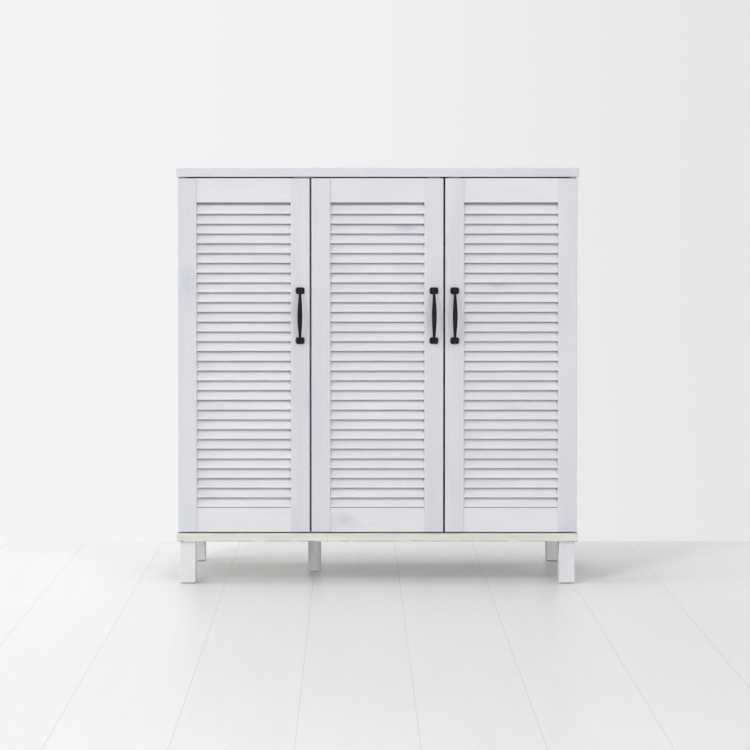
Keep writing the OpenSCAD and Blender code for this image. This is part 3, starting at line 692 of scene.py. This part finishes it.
def add_grip(bm, middle, face_y, reach, foot_z):
    """The arched grip, which swells to its middle: one ring after another along the arch."""
    rise = reach / MM - ARCH_START - ARCH_CREST
    rings = []
    for n in range(GRIP_STEPS + 1):
        t = -1 + 2 * n / GRIP_STEPS
        swell = math.cos(t * math.pi / 2) ** SWELL_POWER
        half_wide, half_deep = ((end + more * swell) * MM for end, more in zip(GRIP_END, GRIP_SWELL))
        out = (ARCH_START + rise * (1 - abs(t) ** ARCH_POWER)) * MM
        steepness = rise * MM * ARCH_POWER * abs(t) ** (ARCH_POWER - 1)
        slope = math.atan2(math.copysign(steepness, t), foot_z)
        place = Matrix.Translation((middle.x, face_y - out, middle.z + t * foot_z))
        turned = place @ Matrix.Rotation(slope, 4, "X")
        rings.append(turned @ Matrix.Diagonal((half_wide, half_deep, 1, 1)))
    start = bmesh.ops.create_circle(bm, cap_ends=True, segments=24, radius=1.0)["verts"]
    bmesh.ops.transform(bm, matrix=rings[0], verts=start)
    cap = next(iter(bm.faces))
    for last, ring in zip(rings, rings[1:]):
        grown = bmesh.ops.extrude_face_region(bm, geom=[cap])
        cap = [g for g in grown["geom"] if isinstance(g, bmesh.types.BMFace)][0]
        bmesh.ops.transform(bm, matrix=ring @ last.inverted(), verts=cap.verts)
    bmesh.ops.contextual_create(bm, geom=[e for e in bm.edges if e.is_boundary])


def add_foot(bm, x, face_y, z):
    """A rounded block against the door, under a short post that carries the grip."""
    made = bmesh.ops.create_cube(bm, size=1.0)["verts"]
    bmesh.ops.scale(bm, vec=(FOOT_WIDE, FOOT_THICK, FOOT_TALL), verts=made)
    for v in made:
        if v.co.y < 0:
            v.co.x *= FOOT_TAPER[0]
            v.co.z *= FOOT_TAPER[1]
    bmesh.ops.translate(bm, vec=(x, face_y - FOOT_THICK / 2, z), verts=made)
    edges = list({e for v in made for e in v.link_edges})
    outer = [e for e in edges if all(v.co.y < face_y - 1 * MM for v in e.verts)]
    corners = [e for e in edges if abs(e.verts[0].co.y - e.verts[1].co.y) > 5 * MM]
    bmesh.ops.bevel(
        bm, geom=outer + corners, offset=FOOT_EASED, affect="EDGES", segments=5, profile=0.5,
        material=-1, clamp_overlap=True,
    )
    place = Matrix.Translation((x, face_y - POST_MIDDLE, z))
    bmesh.ops.create_cone(
        bm, cap_ends=True, segments=24, radius1=POST_RADII[0], radius2=POST_RADII[1],
        depth=POST_LENGTH, matrix=place @ Matrix.Rotation(math.radians(90), 4, "X"),
    )


def make_handle(door):
    """A bow handle: a grip on two feet, cast in one."""
    node = f"{door}_door_handle"
    low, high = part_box(node)
    middle = (low + high) / 2
    foot_z = (high.z - low.z) / 2 - FOOT_TALL / 2
    bm = bmesh.new()
    add_grip(bm, middle, high.y, high.y - low.y, foot_z)
    for side in (-1, 1):
        add_foot(bm, middle.x, high.y, middle.z + side * foot_z)
    bmesh.ops.recalc_face_normals(bm, faces=bm.faces)
    piece = new_piece(node + "_iron", bm, "iron", f"{door}_door", "black_iron", node)
    melt(piece, 0.55 * MM, 6, low, high)


def melt(piece, voxel, passes, low, high):
    """Joins overlapping solids into one smooth casting, kept within its box."""
    remesh = piece.modifiers.new("remesh", "REMESH")
    remesh.mode = "VOXEL"
    remesh.voxel_size = voxel
    smooth = piece.modifiers.new("smooth", "SMOOTH")
    smooth.factor = 0.5
    smooth.iterations = passes
    bpy.context.view_layer.update()
    result = bpy.data.meshes.new_from_object(
        piece.evaluated_get(bpy.context.evaluated_depsgraph_get())
    )
    piece.modifiers.clear()
    old, name = piece.data, piece.data.name
    piece.data = result
    bpy.data.meshes.remove(old)
    result.name = name
    for v in result.vertices:
        for k in range(3):
            v.co[k] = min(max(v.co[k], low[k]), high[k])
    for polygon in result.polygons:
        polygon.use_smooth = True
    if not result.materials:
        result.materials.append(finishes["iron"])


def make_doors():
    for door in DOORS:
        make_stile(door, "hinge")
        make_stile(door, "handle")
        make_rail(door, "top")
        make_rail(door, "bottom")
        make_slats(door)
        make_handle(door)


# ---------------------------------------------------------------- carried-over CAD nodes

def dress(finish, *nodes):
    for node in nodes:
        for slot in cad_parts[node].material_slots:
            slot.material = finishes[finish]


def dress_frame():
    dress("panel", "left_side_panel", "right_side_panel", "partition")
    dress("back", "left_back_panel", "right_back_panel")
    dress("plastic", "shelf_pins", "magnetic_catches")
    dress("zinc", "cam_locks", "cam_bolts", "leg_bolts", "leg_inserts", "hinge_screws", "catch_screws")
    dress("beech", "carcass_dowels")
    dress("felt", "leg_glides")
    dress("nickel", "hinge_plates", "hinge_arms")
    for door in DOORS:
        dress("zinc", f"{door}_door_handle_screws", f"{door}_door_strike_plate")
        dress("nickel", f"{door}_door_hinge_cups")


# ---------------------------------------------------------------- floor

FLOORBOARD = 193.8 * MM
FIRST_JOINT = 50.4 * MM
# the boards give way to a glow that stands in for the lit wall over this short way behind the cabinet
WALL_LINE = (452 * MM, 460 * MM)
# the glow's falloff from its brighter left to its darker right fans out from a point this far in front
# of the cabinet's middle, in metres
FAN_POINT = 4.8


def make_floor():
    """Pale floorboards as far as the wall, and beyond them a glow painted with the lit wall's
    brightness, falling off to the right.
    """
    bm = bmesh.new()
    bmesh.ops.create_grid(bm, x_segments=1, y_segments=1, size=9.0)
    mesh = bpy.data.meshes.new("floor")
    bm.to_mesh(mesh)
    bm.free()
    floor = bpy.data.objects.new("floor", mesh)
    bpy.context.scene.collection.objects.link(floor)
    f = Finish("pale_floor")
    spot = f.spot()
    axes = f.axes(spot)
    across = f.math("DIVIDE", f.math("SUBTRACT", axes["X"], FIRST_JOINT), FLOORBOARD)
    board = f.math("FLOOR", across)
    from_middle = f.math("ABSOLUTE", f.math("SUBTRACT", f.math("FRACT", across), 0.5))
    joint = f.between(from_middle, 0.494, 0.5)
    tint = f.node("TexWhiteNoise", noise_dimensions="1D")
    f.feed(tint.inputs["W"], board)
    offset = f.node("CombineXYZ")
    f.feed(offset.inputs[0], f.math("MULTIPLY", board, 3.7))
    f.feed(offset.inputs[1], f.math("MULTIPLY", board, 5.3))
    moved = f.moved(spot, offset.outputs[0])
    grain = f.noise(f.mapped(moved, scale=(26, 2.2, 1)), 1.0, 4.0, 0.6, 0.6)
    cloud = f.noise(spot, 2.0, 3.0, 0.5)
    base = f.mix(f.between(grain, 0.3, 0.75), (0.855, 0.855, 0.852, 1), (0.83, 0.83, 0.826, 1))
    base = f.tint(base, tint.outputs["Value"], 0.5, (0.84, 0.84, 0.837, 1))
    base = f.tint(base, joint, 0.42, (0.36, 0.36, 0.355, 1))
    beyond = f.between(axes["Y"], *WALL_LINE)
    base = f.mix(beyond, base, (0, 0, 0, 1))
    sideways = f.math("DIVIDE", axes["X"], f.math("ADD", axes["Y"], FAN_POINT))
    # painted light: the glow beyond the wall line is brighter to the left and darker to the right, as
    # the lit wall is
    white = blend_tones(f.tree.nodes, f.tree.links, sideways, *WALL_TURN, WALL_LEFT, WALL_RIGHT)
    f.feed(f.shader.inputs["Emission Color"], white)
    f.feed(f.shader.inputs["Emission Strength"], beyond)
    dulled = f.math("SUBTRACT", 0.5, f.math("MULTIPLY", beyond, 0.5))
    f.feed(f.shader.inputs["Specular IOR Level"], dulled)
    rough = f.between(cloud, 0.2, 0.8, 0.33, 0.37)
    height = f.math("SUBTRACT", f.math("MULTIPLY", grain, 0.3), joint)
    mesh.materials.append(f.finish(base, rough, f.bump(height, 0.0005, 0.12)))


make_camera()
make_studio()
make_floor()
make_carcass()
make_doors()
dress_frame()
